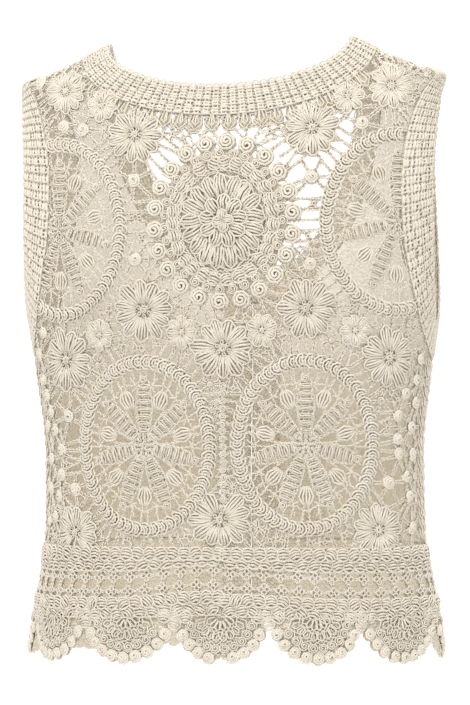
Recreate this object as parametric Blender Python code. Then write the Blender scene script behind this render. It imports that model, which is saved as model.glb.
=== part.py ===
"""A sleeveless crocheted cardigan in ecru cotton, hollow and worn, with nobody in it.

Metres, +Z up. The wearer faces -Y, so the garment's back is on the +Y side and its left side at +X.
The origin lies midway between the two neck ends of the shoulder seams.
Every piece is a wall of cloth that lies on one body surface. A point of that surface is given by
its turn, the angle in degrees round the body from the centre back (0) by the side (90) to the
centre front (180), plus on the left and minus on the right, and by its height.
"""

import math

import bmesh
import bpy
import numpy as np

# Walls and seams
LACE_THICK = 0.0024
BAND_THICK = 0.0030
LABEL_THICK = 0.0010
SEAM_GAP = 0.0005

# Heights, from the neck ends of the shoulder seams down
BORDER_TOP = -0.404
VALLEY_HEIGHT = -0.469
SCALLOP_DROP = 0.027

# Neckline and its ribbed band
NECK_HALF_WIDTH = 0.098
BACK_NECK_DROP = 0.039
FRONT_NECK_DROP = 0.185
NECKBAND_WIDTH = 0.024
NECKBAND_END_X = 0.118

# Armhole, seen from the side, and its ribbed band
ARM_TOP = -0.033
ARM_BOTTOM = -0.230
ARM_BACK_REACH = 0.032
ARM_FRONT_REACH = 0.064
ARMBAND_TOP = -0.0255
ARMBAND_BOTTOM = -0.254
ARMBAND_BACK_REACH = 0.052
ARMBAND_FRONT_REACH = 0.086

# Front opening and its bands
FRONT_GAP = 0.002
FRONT_BAND_WIDTH = 0.024

# Scallops round the hem, counted from the one that is centred on the back seam to the front band
SCALLOPS_TO_BAND = 5.5

# Label inside the back of the neckband
LABEL_HALF_TURN = 27.0
LABEL_TOP = 0.007
LABEL_BOTTOM = 0.021

# Mesh fineness, in faces
PANEL_FACES = 10
SIDE_FACES = 6
ARM_FACES = 18
BACK_NECK_FACES = 12
FRONT_NECK_FACES = 13
ARM_CROWDING = 1.12
BAND_ACROSS_FACES = 2
BORDER_FACES = 22
BORDER_DOWN_FACES = 3
FRONT_BAND_FACES = 14

# Horizontal rings of the body. Depths run from the ring's own centre, which lies at centre_y.
RING_COLUMNS = ("height", "half_width", "back_depth", "front_depth", "centre_y")
RINGS = (
    (0.000, 0.098, 0.018, 0.018, 0.016),
    (-0.010, 0.119, 0.033, 0.036, 0.014),
    (-0.021, 0.143, 0.042, 0.050, 0.012),
    (-0.033, 0.170, 0.051, 0.066, 0.012),
    (-0.080, 0.173, 0.068, 0.106, 0.018),
    (-0.140, 0.172, 0.077, 0.130, 0.021),
    (-0.200, 0.167, 0.079, 0.138, 0.020),
    (-0.232, 0.162, 0.078, 0.136, 0.017),
    (-0.270, 0.157, 0.078, 0.129, 0.012),
    (-0.330, 0.151, 0.079, 0.115, 0.006),
    (-0.390, 0.152, 0.084, 0.107, 0.001),
    (-0.440, 0.159, 0.091, 0.110, 0.000),
    (-0.500, 0.166, 0.099, 0.117, 0.000),
)
SQUARENESS = 2.4

# Soft folds, running down. depth is outwards, or inwards if negative, and grows from top to full.
FOLD_COLUMNS = ("turn", "half_width", "depth", "top", "full")
FOLDS = (
    (42.0, 24.0, 0.0045, -0.360, -0.480),
    (12.0, 13.0, -0.0055, -0.400, -0.490),
    (-34.0, 26.0, 0.0040, -0.380, -0.490),
    (-66.0, 15.0, -0.0035, -0.350, -0.470),
    (-84.0, 12.0, 0.0045, -0.395, -0.470),
    (74.0, 14.0, -0.0040, -0.330, -0.460),
    (96.0, 15.0, 0.0040, -0.400, -0.490),
    (128.0, 18.0, -0.0040, -0.300, -0.470),
    (152.0, 16.0, 0.0045, -0.330, -0.480),
    (-112.0, 16.0, -0.0050, -0.320, -0.470),
    (-140.0, 20.0, 0.0040, -0.300, -0.480),
    (58.0, 12.0, -0.0022, -0.190, -0.300),
    (-56.0, 14.0, -0.0025, -0.210, -0.320),
)

# The cloth sits a little higher on the right shoulder, and the neck a little to the left. Both
# fade to nothing at a height.
TILT_RISE = 0.0025
TILT_FADE = -0.260
NECK_SLIDE = 0.0035
NECK_FADE = -0.150

COTTON = {"name": "ecru_cotton", "colour": (0.76, 0.69, 0.57, 1.0), "roughness": 0.9}
LABEL_TAPE = {"name": "label_tape", "colour": (0.86, 0.85, 0.82, 1.0), "roughness": 0.7}


def smooth_step(amount):
    """0 below 0, 1 above 1, and a soft rise between."""
    amount = min(max(amount, 0.0), 1.0)
    return amount * amount * (3 - 2 * amount)


def smooth_slopes(heights, values):
    """A slope at each ring that keeps the curve between two rings inside their values."""
    steps = np.diff(values, axis=0) / np.diff(heights)[:, None]
    slopes = np.zeros_like(values)
    before, after = steps[:-1], steps[1:]
    same_way = before * after > 0
    mean = 2 * before * after / np.where(same_way, before + after, 1.0)
    slopes[1:-1] = np.where(same_way, mean, 0.0)
    slopes[0], slopes[-1] = steps[0], steps[-1]
    return slopes


RING_TABLE = np.array(RINGS[::-1])
RING_HEIGHTS, RING_VALUES = RING_TABLE[:, 0], RING_TABLE[:, 1:]
RING_SLOPES = smooth_slopes(RING_HEIGHTS, RING_VALUES)


def ring_at(height):
    """(half_width, back_depth, front_depth, centre_y) of the body's ring at a height."""
    height = min(max(height, RING_HEIGHTS[0]), RING_HEIGHTS[-1])
    i = min(int(np.searchsorted(RING_HEIGHTS, height, side="right")) - 1, len(RING_HEIGHTS) - 2)
    gap = RING_HEIGHTS[i + 1] - RING_HEIGHTS[i]
    t = (height - RING_HEIGHTS[i]) / gap
    low, high = RING_VALUES[i], RING_VALUES[i + 1]
    start, end = RING_SLOPES[i] * gap, RING_SLOPES[i + 1] * gap
    return (
        low * (2 * t**3 - 3 * t**2 + 1)
        + start * (t**3 - 2 * t**2 + t)
        + high * (3 * t**2 - 2 * t**3)
        + end * (t**3 - t**2)
    )


def plain_point(turn, height):
    """A point of the body without its folds."""
    half_width, back, front, centre = ring_at(height)
    across, along = math.sin(math.radians(turn)), math.cos(math.radians(turn))
    depth = back if along > 0 else front
    power = SQUARENESS
    reach = (abs(across / half_width) ** power + abs(along / depth) ** power) ** (-1 / power)
    return np.array((reach * across, centre + reach * along, height))


def normal_of(point_at, turn, height):
    """The outward unit normal of a surface that point_at gives."""
    step_turn, step_height = 3.0, 0.008
    round_it = point_at(turn + step_turn, height) - point_at(turn - step_turn, height)
    up_it = point_at(turn, height + step_height) - point_at(turn, height - step_height)
    normal = np.cross(up_it, round_it)
    return normal / np.linalg.norm(normal)


def fold_depth(turn, height):
    """How far the folds push the cloth out at a place."""
    pushed = 0.0
    for row in FOLDS:
        fold = dict(zip(FOLD_COLUMNS, row))
        away = (turn - fold["turn"] + 180) % 360 - 180
        if abs(away) < fold["half_width"]:
            swell = 0.5 + 0.5 * math.cos(math.pi * away / fold["half_width"])
            grown = smooth_step((fold["top"] - height) / (fold["top"] - fold["full"]))
            pushed += fold["depth"] * swell * grown
    return pushed


def body_point(turn, height):
    """A point of the garment's outer face."""
    point = plain_point(turn, height) + normal_of(plain_point, turn, height) * fold_depth(turn, height)
    across = point[0] / RINGS[3][1]
    point[2] -= TILT_RISE * across * smooth_step(1 - height / TILT_FADE) * (2.2 - abs(across))
    point[0] += NECK_SLIDE * smooth_step(1 - height / NECK_FADE) * max(1 - across**2, 0.0)
    return point


def turn_from_x(x, height, at_back):
    """The turn, 0 to 180, of the point that lies x from the middle, at the back or the front."""
    half_width, back, front, _ = ring_at(height)
    share = min(abs(x) / half_width, 1.0)
    along = (1 - share**SQUARENESS) ** (1 / SQUARENESS) * (back if at_back else -front)
    return math.degrees(math.atan2(share * half_width, along))


def turn_from_y(y, height):
    """The turn, 0 to 180, of the point that lies y behind the ring's centre, on the body's side."""
    half_width, back, front, _ = ring_at(height)
    share = min(abs(y) / (back if y > 0 else front), 1.0)
    across = (1 - share**SQUARENESS) ** (1 / SQUARENESS) * half_width
    return math.degrees(math.atan2(across, y))


def shoulder_height(x):
    """The height of the shoulder seam, x from the middle."""
    low, high = ARM_TOP, 0.0
    for _ in range(40):
        middle = (low + high) / 2
        low, high = (middle, high) if ring_at(middle)[0] > x else (low, middle)
    return (low + high) / 2


NECKBAND_END = shoulder_height(NECKBAND_END_X)


def neck_place(lap, at_back, inset):
    """(turn, height) on the neckline, or on a line below it.

    lap runs from 0 at the middle to 90 at the shoulder. inset is 0 on the edge, and 1 on the seam
    between the band and the body.
    """
    drop = BACK_NECK_DROP if at_back else FRONT_NECK_DROP
    angle = math.radians(lap)
    x = (NECK_HALF_WIDTH + inset * (NECKBAND_END_X - NECK_HALF_WIDTH)) * math.sin(angle)
    top = inset * NECKBAND_END
    low = -drop - inset * NECKBAND_WIDTH
    height = top + (low - top) * math.cos(angle)
    return turn_from_x(x, height, at_back), height


def arm_place(lap, inset):
    """(turn, height) round the armhole. lap runs from 0 at the shoulder by 90 at the back and 180
    at the underarm to 270 at the front. inset is 0 on the edge and 1 on the band's seam."""
    angle = math.radians(lap)
    high = ARM_TOP + inset * (ARMBAND_TOP - ARM_TOP)
    low = ARM_BOTTOM + inset * (ARMBAND_BOTTOM - ARM_BOTTOM)
    if math.sin(angle) > 0:
        reach = ARM_BACK_REACH + inset * (ARMBAND_BACK_REACH - ARM_BACK_REACH)
    else:
        reach = ARM_FRONT_REACH + inset * (ARMBAND_FRONT_REACH - ARM_FRONT_REACH)
    height = (high + low) / 2 + (high - low) / 2 * math.cos(angle)
    return turn_from_y(reach * math.sin(angle), height), height


def arm_laps():
    """Laps from the shoulder by the back to the underarm, closer together at the shoulder."""
    return [180 * (i / ARM_FACES) ** ARM_CROWDING for i in range(ARM_FACES + 1)]


# Insets of the seams' two sides: the bands stop short of 1 and the panels start past it.
BAND_SIDE = 0.99
NECK_PANEL_SIDE = 1.0 + SEAM_GAP / NECKBAND_WIDTH
ARM_PANEL_SIDE = 1.0 + SEAM_GAP / (ARM_BOTTOM - ARMBAND_BOTTOM)


def seam_turn(height, at_back):
    """The turn of a panel's edge at the shoulder or side seam, half a gap from 90."""
    half_gap = math.degrees(SEAM_GAP / 2 / ring_at(height)[0])
    return 90 - half_gap if at_back else 90 + half_gap


def spaced(start, end, faces):
    return [start + (end - start) * i / faces for i in range(faces + 1)]


def patch(bottom, top, left, right):
    """A rule from (across, up), each 0 to 1, to (turn, height), for a panel with four edges."""
    edges = [np.array(e) for e in (bottom, top, left, right)]

    def along(edge, share):
        at = share * (len(edge) - 1)
        i = min(int(at), len(edge) - 2)
        return edge[i] + (edge[i + 1] - edge[i]) * (at - i)

    def place(across, up):
        low, high, near, far = (along(e, s) for e, s in zip(edges, (across, across, up, up)))
        corners = (
            (1 - across) * (1 - up) * edges[0][0]
            + across * (1 - up) * edges[0][-1]
            + (1 - across) * up * edges[1][0]
            + across * up * edges[1][-1]
        )
        return (1 - up) * low + up * high + (1 - across) * near + across * far - corners

    return place


def material(finish):
    made = bpy.data.materials.get(finish["name"])
    if made:
        return made
    made = bpy.data.materials.new(finish["name"])
    made.use_nodes = True
    shader = made.node_tree.nodes["Principled BSDF"]
    shader.inputs["Base Color"].default_value = finish["colour"]
    shader.inputs["Roughness"].default_value = finish["roughness"]
    made.diffuse_color = finish["colour"]
    return made


def add_piece(name, mesh_source, finish):
    """The named object of a bmesh, in the garment's collection."""
    bmesh.ops.recalc_face_normals(mesh_source, faces=mesh_source.faces)
    if mesh_source.calc_volume(signed=True) < 0:
        bmesh.ops.reverse_faces(mesh_source, faces=mesh_source.faces)
    mesh = bpy.data.meshes.new(name)
    mesh_source.to_mesh(mesh)
    mesh_source.free()
    mesh.shade_smooth()
    mesh.set_sharp_from_angle(angle=math.radians(50))
    piece = bpy.data.objects.new(name, mesh)
    mesh.materials.append(material(finish))
    garment.objects.link(piece)


def worn(place, side, thick, sunk=0.0):
    """Where a point of the cloth lies. place is (turn, height), and depth runs from 0 at the outer
    face to 1 at the inner one."""

    def put(across, up, depth):
        turn, height = place(across, up)
        point = body_point(side * turn, height)
        return point - normal_of(body_point, side * turn, height) * (sunk + thick * depth)

    return put


def add_panel(name, put, columns, rows, finish=COTTON):
    """A flat grid of unit size, thickened and then laid on the body by put."""
    made = bmesh.new()
    bmesh.ops.create_grid(made, x_segments=columns, y_segments=rows, size=0.5)
    bmesh.ops.solidify(made, geom=made.faces[:], thickness=1.0)
    depths = sorted({round(v.co.z, 3) for v in made.verts})
    for vert in made.verts:
        depth = 0.0 if abs(vert.co.z - depths[0]) < 0.5 else 1.0
        vert.co = put(vert.co.x + 0.5, vert.co.y + 0.5, depth)
    add_piece(name, made, finish)


def add_loop(name, put, stations, rows):
    """A closed band: an open cylinder of unit size, thickened and then laid on the body by put."""
    made = bmesh.new()
    bmesh.ops.create_cone(
        made, segments=stations, radius1=1.0, radius2=1.0, depth=1.0, cap_ends=False
    )
    upright = [e for e in made.edges if abs(e.verts[0].co.z - e.verts[1].co.z) > 0.5]
    bmesh.ops.subdivide_edges(made, edges=upright, cuts=rows - 1)
    bmesh.ops.solidify(made, geom=made.faces[:], thickness=0.5)
    radii = [math.hypot(v.co.x, v.co.y) for v in made.verts]
    middle = (min(radii) + max(radii)) / 2
    for vert, radius in zip(made.verts, radii):
        share = (math.atan2(vert.co.x, vert.co.y) / math.tau) % 1.0
        share = round(share * stations) / stations
        vert.co = put(share, vert.co.z + 0.5, 0.0 if radius > middle else 1.0)
    add_piece(name, made, COTTON)


def neck_line(x, laps, at_back):
    """A panel's edge: up the middle, x from it, then along the neckline to the shoulder."""
    neck = [neck_place(lap, at_back, NECK_PANEL_SIDE) for lap in laps]
    neck[0] = (turn_from_x(x, neck[0][1], at_back), neck[0][1])
    neck[-1] = (seam_turn(neck[-1][1], at_back), neck[-1][1])
    low = spaced(BORDER_TOP, ARMBAND_BOTTOM, SIDE_FACES)
    high = spaced(ARMBAND_BOTTOM, neck[0][1], ARM_FACES + 1 - len(neck))
    return [(turn_from_x(x, h, at_back), h) for h in low[:-1] + high[:-1]] + neck


def arm_line(laps, at_back):
    """A panel's edge: up the side seam, then round the armhole to the shoulder."""
    arm = [arm_place(lap, ARM_PANEL_SIDE) for lap in laps]
    for i in (0, -1):
        arm[i] = (seam_turn(arm[i][1], at_back), arm[i][1])
    heights = spaced(BORDER_TOP, arm[0][1], SIDE_FACES)
    return [(seam_turn(h, at_back), h) for h in heights[:-1]] + arm


def between(start, end):
    """Evenly spread places from one to another, both counted."""
    turns, heights = (spaced(a, b, PANEL_FACES) for a, b in zip(start, end))
    return list(zip(turns, heights))


def panel_edges(x, neck_laps, arm_laps, at_back):
    """The bottom, top, middle and side edges of a panel, each a list of places."""
    middle, side = neck_line(x, neck_laps, at_back), arm_line(arm_laps, at_back)
    return between(middle[0], side[0]), between(middle[-1], side[-1]), middle, side


def back_edges():
    laps = spaced(0, 90, BACK_NECK_FACES)
    return panel_edges(SEAM_GAP / 2, laps, arm_laps()[::-1], True)


def front_neck_laps():
    """Laps of the neckband's stations at the front, from the opening to the shoulder."""
    opening = math.degrees(math.asin(FRONT_GAP / 2 / NECKBAND_END_X))
    seam = math.degrees(math.asin((FRONT_GAP / 2 + FRONT_BAND_WIDTH) / NECKBAND_END_X))
    return [opening] + spaced(seam, 90, FRONT_NECK_FACES)


def front_edges():
    """A front panel starts at the seam of its front band."""
    x = FRONT_GAP / 2 + FRONT_BAND_WIDTH + SEAM_GAP
    laps = [360 - lap for lap in arm_laps()[::-1]]
    return panel_edges(x, front_neck_laps()[1:], laps, False)


def hem_arc(height):
    """(turns, metres round the body from the centre back) of half a ring, for the scallops."""
    turns = np.linspace(0, 180, 361)
    points = np.array([plain_point(t, height) for t in turns])
    lengths = np.linalg.norm(np.diff(points, axis=0), axis=1)
    return turns, np.concatenate([[0], np.cumsum(lengths)])


HEM_TURNS, HEM_METRES = hem_arc(VALLEY_HEIGHT)
BAND_SEAM_TURN = turn_from_x(FRONT_GAP / 2 + FRONT_BAND_WIDTH, VALLEY_HEIGHT, False)
SCALLOP_WIDTH = float(np.interp(BAND_SEAM_TURN, HEM_TURNS, HEM_METRES)) / SCALLOPS_TO_BAND


def hem_height(turn):
    """The height of the scalloped edge: one circular arc after another."""
    across = float(np.interp(turn, HEM_TURNS, HEM_METRES)) / SCALLOP_WIDTH
    off_middle = (across + 0.5) % 1.0 - 0.5
    half = SCALLOP_WIDTH / 2
    radius = (half**2 + SCALLOP_DROP**2) / (2 * SCALLOP_DROP)
    fall = math.sqrt(radius**2 - (off_middle * SCALLOP_WIDTH) ** 2) - (radius - SCALLOP_DROP)
    return VALLEY_HEIGHT - fall


def add_border(name, side, start, end):
    """A quarter of the hem's border, with its scalloped lower edge. start and end give the turn
    of its two sides at a height."""

    def place(across, up):
        valley_turn = start(VALLEY_HEIGHT) * (1 - across) + end(VALLEY_HEIGHT) * across
        low, high = hem_height(valley_turn), BORDER_TOP - SEAM_GAP
        height = low + (high - low) * up
        return start(height) * (1 - across) + end(height) * across, height

    add_panel(name, worn(place, side, LACE_THICK), BORDER_FACES, BORDER_DOWN_FACES)


def add_neckband():
    front, back = front_neck_laps(), spaced(90, 0, BACK_NECK_FACES)
    half = [(lap, False) for lap in front] + [(lap, True) for lap in back[1:]]
    stations = [(1, *s) for s in half] + [(-1, *s) for s in half[-2::-1]]
    last = len(stations) - 1

    def put(across, up, depth):
        side, lap, at_back = stations[round(across * last)]
        turn, height = neck_place(lap, at_back, BAND_SIDE * (1 - up))
        if not at_back:
            edge = turn_from_x(FRONT_GAP / 2, height, False)
            turn = edge if lap == front[0] else turn
        point = body_point(side * turn, height)
        return point - normal_of(body_point, side * turn, height) * BAND_THICK * depth

    add_panel("neckband", put, last, BAND_ACROSS_FACES)


def add_armband(name, side):
    laps = arm_laps() + [360 - lap for lap in arm_laps()[-2::-1]]

    def place(across, up):
        return arm_place(laps[round(across * 2 * ARM_FACES)], BAND_SIDE * up)

    add_loop(name, worn(place, side, BAND_THICK), 2 * ARM_FACES, BAND_ACROSS_FACES)


def add_front_band(name, side):
    near_x, far_x = FRONT_GAP / 2, FRONT_GAP / 2 + FRONT_BAND_WIDTH
    laps = front_neck_laps()[:2]
    tops = [neck_place(lap, False, NECK_PANEL_SIDE)[1] for lap in laps]

    def place(across, up):
        x = near_x + (far_x - near_x) * across
        top = tops[0] + (tops[1] - tops[0]) * across
        height = VALLEY_HEIGHT + (top - VALLEY_HEIGHT) * up
        return turn_from_x(x, height, False), height

    add_panel(name, worn(place, side, BAND_THICK), BAND_ACROSS_FACES, FRONT_BAND_FACES)


def back_middle(height):
    return turn_from_x(SEAM_GAP / 2, height, True)


def band_seam(height):
    return turn_from_x(FRONT_GAP / 2 + FRONT_BAND_WIDTH + SEAM_GAP, height, False)


def add_label():
    """A plain strip of woven tape, sewn inside the back of the neckband."""

    def place(across, up):
        lap = LABEL_HALF_TURN * (2 * across - 1)
        inset = (LABEL_BOTTOM + (LABEL_TOP - LABEL_BOTTOM) * up) / NECKBAND_WIDTH
        turn, height = neck_place(abs(lap), True, inset)
        return math.copysign(turn, lap), height

    sunk = BAND_THICK + SEAM_GAP
    add_panel("neck_label", worn(place, 1, LABEL_THICK, sunk), 8, 2, LABEL_TAPE)


for old in list(bpy.data.objects):
    bpy.data.objects.remove(old)
garment = bpy.data.collections.new("crochet_cardigan")
bpy.context.scene.collection.children.link(garment)

for side_name, side_sign in (("left", 1), ("right", -1)):
    for panel, edges in (("back", back_edges()), ("front", front_edges())):
        cloth = worn(patch(*edges), side_sign, LACE_THICK)
        add_panel(f"{panel}_{side_name}", cloth, len(edges[1]) - 1, len(edges[2]) - 1)
    add_armband(f"armband_{side_name}", side_sign)
    add_front_band(f"front_band_{side_name}", side_sign)
    add_border(f"border_back_{side_name}", side_sign, back_middle, lambda h: seam_turn(h, True))
    add_border(f"border_front_{side_name}", side_sign, lambda h: seam_turn(h, False), band_seam)
add_neckband()
add_label()
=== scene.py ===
"""The looks of a sleeveless crochet cardigan in ecru cotton, hollow as worn and seen from the back.

Every panel and band is a thin net of cloth with yarn stitches laid on it. A stitch is bent once
from yarn and then laid many times, on a map that carries flat pattern places onto the worn cloth.
On every map the first place runs to the right and the second up, as seen from outside.
"""

import math

import bpy
import numpy as np
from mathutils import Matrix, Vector


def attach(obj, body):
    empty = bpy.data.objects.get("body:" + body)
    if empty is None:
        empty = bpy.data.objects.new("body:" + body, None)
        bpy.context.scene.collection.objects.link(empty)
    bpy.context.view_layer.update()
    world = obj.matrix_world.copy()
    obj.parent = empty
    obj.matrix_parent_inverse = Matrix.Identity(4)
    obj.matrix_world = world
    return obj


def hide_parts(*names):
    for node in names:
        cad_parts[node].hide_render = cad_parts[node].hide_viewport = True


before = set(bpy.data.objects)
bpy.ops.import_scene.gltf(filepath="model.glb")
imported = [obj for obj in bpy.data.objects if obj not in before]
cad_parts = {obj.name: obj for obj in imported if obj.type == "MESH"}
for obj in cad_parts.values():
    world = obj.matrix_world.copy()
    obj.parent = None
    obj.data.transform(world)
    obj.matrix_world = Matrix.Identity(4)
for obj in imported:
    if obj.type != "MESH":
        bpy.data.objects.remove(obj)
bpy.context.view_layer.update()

bpy.ops.object.select_all(action="DESELECT")
chance = np.random.default_rng(41)

# ---- Sizes, in metres ----

YARN = 0.0013
AS_BENT = 0.001  # scales a stitch's width back to what it was bent at
WOBBLE_ASIDE, WOBBLE_OUT = 0.00026, 0.00028
NET_THICK = 0.0010
NET_SINK = 0.0012
NET_CELL, FRONT_CELL, BAND_CELL, GAP_CELL = 0.0023, 0.0045, 0.0030, 0.0015

BORDER_TOP = -0.404
VALLEY_HEIGHT = -0.469
SCALLOP_DROP = 0.027
HEM_LOW = -0.4975
NECK_HALF_WIDTH, NECKBAND_END_X = 0.098, 0.118
BACK_NECK_DROP, FRONT_NECK_DROP = 0.039, 0.185
BAND_WIDTH, BAND_OUTSET = 0.024, 0.0004
ARM_TOP, ARM_BOTTOM = -0.033, -0.230
ARM_BACK_REACH, ARM_FRONT_REACH = 0.032, 0.064
ARMBAND_TOP, ARMBAND_BOTTOM = -0.0255, -0.254
ARMBAND_BACK_REACH, ARMBAND_FRONT_REACH = 0.052, 0.086
FRONT_GAP, FRONT_EDGE = 0.002, 0.0002
SEAM = 0.00008
LAP = 0.0015  # how far the front panels run on under the front bands

# The body's rings and folds, as in the solids
RINGS = (
    (0.000, 0.098, 0.018, 0.018, 0.016),
    (-0.010, 0.119, 0.033, 0.036, 0.014),
    (-0.021, 0.143, 0.042, 0.050, 0.012),
    (-0.033, 0.170, 0.051, 0.066, 0.012),
    (-0.080, 0.173, 0.068, 0.106, 0.018),
    (-0.140, 0.172, 0.077, 0.130, 0.021),
    (-0.200, 0.167, 0.079, 0.138, 0.020),
    (-0.232, 0.162, 0.078, 0.136, 0.017),
    (-0.270, 0.157, 0.078, 0.129, 0.012),
    (-0.330, 0.151, 0.079, 0.115, 0.006),
    (-0.390, 0.152, 0.084, 0.107, 0.001),
    (-0.440, 0.159, 0.091, 0.110, 0.000),
    (-0.500, 0.166, 0.099, 0.117, 0.000),
)
SQUARENESS = 2.4
FOLDS = (
    (42.0, 24.0, 0.0045, -0.360, -0.480),
    (12.0, 13.0, -0.0055, -0.400, -0.490),
    (-34.0, 26.0, 0.0040, -0.380, -0.490),
    (-66.0, 15.0, -0.0035, -0.350, -0.470),
    (-84.0, 12.0, 0.0045, -0.395, -0.470),
    (74.0, 14.0, -0.0040, -0.330, -0.460),
    (96.0, 15.0, 0.0040, -0.400, -0.490),
    (128.0, 18.0, -0.0040, -0.300, -0.470),
    (152.0, 16.0, 0.0045, -0.330, -0.480),
    (-112.0, 16.0, -0.0050, -0.320, -0.470),
    (-140.0, 20.0, 0.0040, -0.300, -0.480),
    (58.0, 12.0, -0.0022, -0.190, -0.300),
    (-56.0, 14.0, -0.0025, -0.210, -0.320),
)
TILT_RISE, TILT_FADE = 0.0025, -0.260
NECK_SLIDE, NECK_FADE = 0.0035, -0.150


def smooth(amount):
    amount = np.clip(amount, 0.0, 1.0)
    return amount * amount * (3 - 2 * amount)


TABLE = np.array(RINGS[::-1])
HEIGHTS, VALUES = TABLE[:, 0], TABLE[:, 1:]
STEPS = np.diff(VALUES, axis=0) / np.diff(HEIGHTS)[:, None]
SLOPES = np.zeros_like(VALUES)
SAME = STEPS[:-1] * STEPS[1:] > 0
MEAN = 2 * STEPS[:-1] * STEPS[1:] / np.where(SAME, STEPS[:-1] + STEPS[1:], 1.0)
SLOPES[1:-1] = np.where(SAME, MEAN, 0.0)
SLOPES[0], SLOPES[-1] = STEPS[0], STEPS[-1]


def ring_at(height):
    """Half width, back depth, front depth and centre of the body's rings at many heights."""
    height = np.clip(height, HEIGHTS[0], HEIGHTS[-1])
    i = np.clip(np.searchsorted(HEIGHTS, height, side="right") - 1, 0, len(HEIGHTS) - 2)
    gap = (HEIGHTS[i + 1] - HEIGHTS[i])[..., None]
    t = (height - HEIGHTS[i])[..., None] / gap
    found = (
        VALUES[i] * (2 * t**3 - 3 * t**2 + 1)
        + SLOPES[i] * gap * (t**3 - 2 * t**2 + t)
        + VALUES[i + 1] * (3 * t**2 - 2 * t**3)
        + SLOPES[i + 1] * gap * (t**3 - t**2)
    )
    return np.moveaxis(found, -1, 0)


def plain_body(turn, height):
    half_width, back, front, centre = ring_at(height)
    across, along = np.sin(np.radians(turn)), np.cos(np.radians(turn))
    depth = np.where(along > 0, back, front)
    power = SQUARENESS
    reach = (np.abs(across / half_width) ** power + np.abs(along / depth) ** power) ** (-1 / power)
    return np.stack([reach * across, centre + reach * along, height + 0 * reach], axis=-1)


def outward(place, turn, height):
    round_it = place(turn + 3.0, height) - place(turn - 3.0, height)
    up_it = place(turn, height + 0.008) - place(turn, height - 0.008)
    normal = np.cross(up_it, round_it)
    return normal / np.linalg.norm(normal, axis=-1, keepdims=True)


def fold_depth(turn, height):
    pushed = np.zeros(np.broadcast(turn, height).shape)
    for at, half_width, depth, top, full in FOLDS:
        away = np.abs((turn - at + 180) % 360 - 180)
        swell = np.where(away < half_width, 0.5 + 0.5 * np.cos(np.pi * away / half_width), 0.0)
        pushed = pushed + depth * swell * smooth((top - height) / (top - full))
    return pushed


def body(turn, height):
    """Points of the garment's outer face."""
    turn, height = np.broadcast_arrays(np.asarray(turn, float), np.asarray(height, float))
    pushed = fold_depth(turn, height)[..., None] * outward(plain_body, turn, height)
    point = plain_body(turn, height) + pushed
    across = point[..., 0] / RINGS[3][1]
    point[..., 2] -= TILT_RISE * across * smooth(1 - height / TILT_FADE) * (2.2 - np.abs(across))
    slide = smooth(1 - height / NECK_FADE) * np.maximum(1 - across**2, 0.0)
    point[..., 0] += NECK_SLIDE * slide
    return point


def mixed(grid, i, j, x, y):
    """A grid's value x and y of a cell past its place i, j."""
    low = grid[i, j] * (1 - x) + grid[i + 1, j] * x
    return low * (1 - y) + (grid[i, j + 1] * (1 - x) + grid[i + 1, j + 1] * x) * y


def cell_of(place, marks):
    """The cell of evenly rising marks that each place is in, and how far past its start."""
    x = np.interp(place, marks, np.arange(len(marks)))
    i = np.minimum(np.asarray(x, int), len(marks) - 2)
    return i, x - i


class Cloth:
    """A map from flat pattern places to the worn cloth, kept as a grid of points."""

    def __init__(self, rights, ups, turns, heights):
        self.rights, self.ups = rights, ups
        self.points = body(turns, heights)
        self.outwards = outward(body, turns, heights)

    def lay(self, right, up, out):
        (i, x), (j, y) = cell_of(right, self.rights), cell_of(up, self.ups)
        place = i, j, x[..., None], y[..., None]
        away = mixed(self.outwards, *place)
        away /= np.linalg.norm(away, axis=-1, keepdims=True)
        return mixed(self.points, *place) + away * np.asarray(out)[..., None]


# The body's map: right of the centre back in metres round the body, and height
GRID_STEP = 0.002
UPS = np.arange(-0.516, 0.0061, GRID_STEP)
RIGHTS = np.arange(-0.500, 0.5001, GRID_STEP)
TURN_STEP = 0.5
TURNS = np.arange(0.0, 220.1, TURN_STEP)
ROUND = plain_body(TURNS[None, :], UPS[:, None])
ROUND = np.linalg.norm(np.diff(ROUND, axis=1), axis=2).cumsum(axis=1)
ROUND = np.concatenate([np.zeros((len(UPS), 1)), ROUND], axis=1)
TURN_AT = np.array([np.interp(np.abs(RIGHTS), row, TURNS) for row in ROUND]).T
BODY = Cloth(RIGHTS, UPS, -np.sign(RIGHTS)[:, None] * TURN_AT, UPS[None, :])


def right_of(turn, height):
    """Metres round the body, unsigned, of places given by turn and height."""
    turn, height = np.broadcast_arrays(np.asarray(turn, float), np.asarray(height, float))
    (i, x), (j, y) = cell_of(np.abs(turn), TURNS), cell_of(height, UPS)
    return mixed(ROUND.T, i, j, x, y)


def turn_of(right, height):
    """Turns, unsigned, of places given by metres round the body and height."""
    (i, x), (j, y) = cell_of(np.abs(right), RIGHTS), cell_of(height, UPS)
    return mixed(TURN_AT, i, j, x, y)


def turn_from_x(x, height, at_back):
    half_width, back, front, _ = ring_at(np.asarray(height, float))
    share = np.minimum(np.abs(x) / half_width, 1.0)
    along = (1 - share**SQUARENESS) ** (1 / SQUARENESS) * (back if at_back else -front)
    return np.degrees(np.arctan2(share * half_width, along))


def turn_from_y(y, height):
    half_width, back, front, _ = ring_at(np.asarray(height, float))
    share = np.minimum(np.abs(y) / np.where(y > 0, back, front), 1.0)
    across = (1 - share**SQUARENESS) ** (1 / SQUARENESS) * half_width
    return np.degrees(np.arctan2(across, y))


def shoulder_height(x):
    heights = np.linspace(ARM_TOP, 0.0, 400)
    return float(np.interp(-x, -ring_at(heights)[0], heights))


NECKBAND_END = shoulder_height(NECKBAND_END_X)


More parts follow.
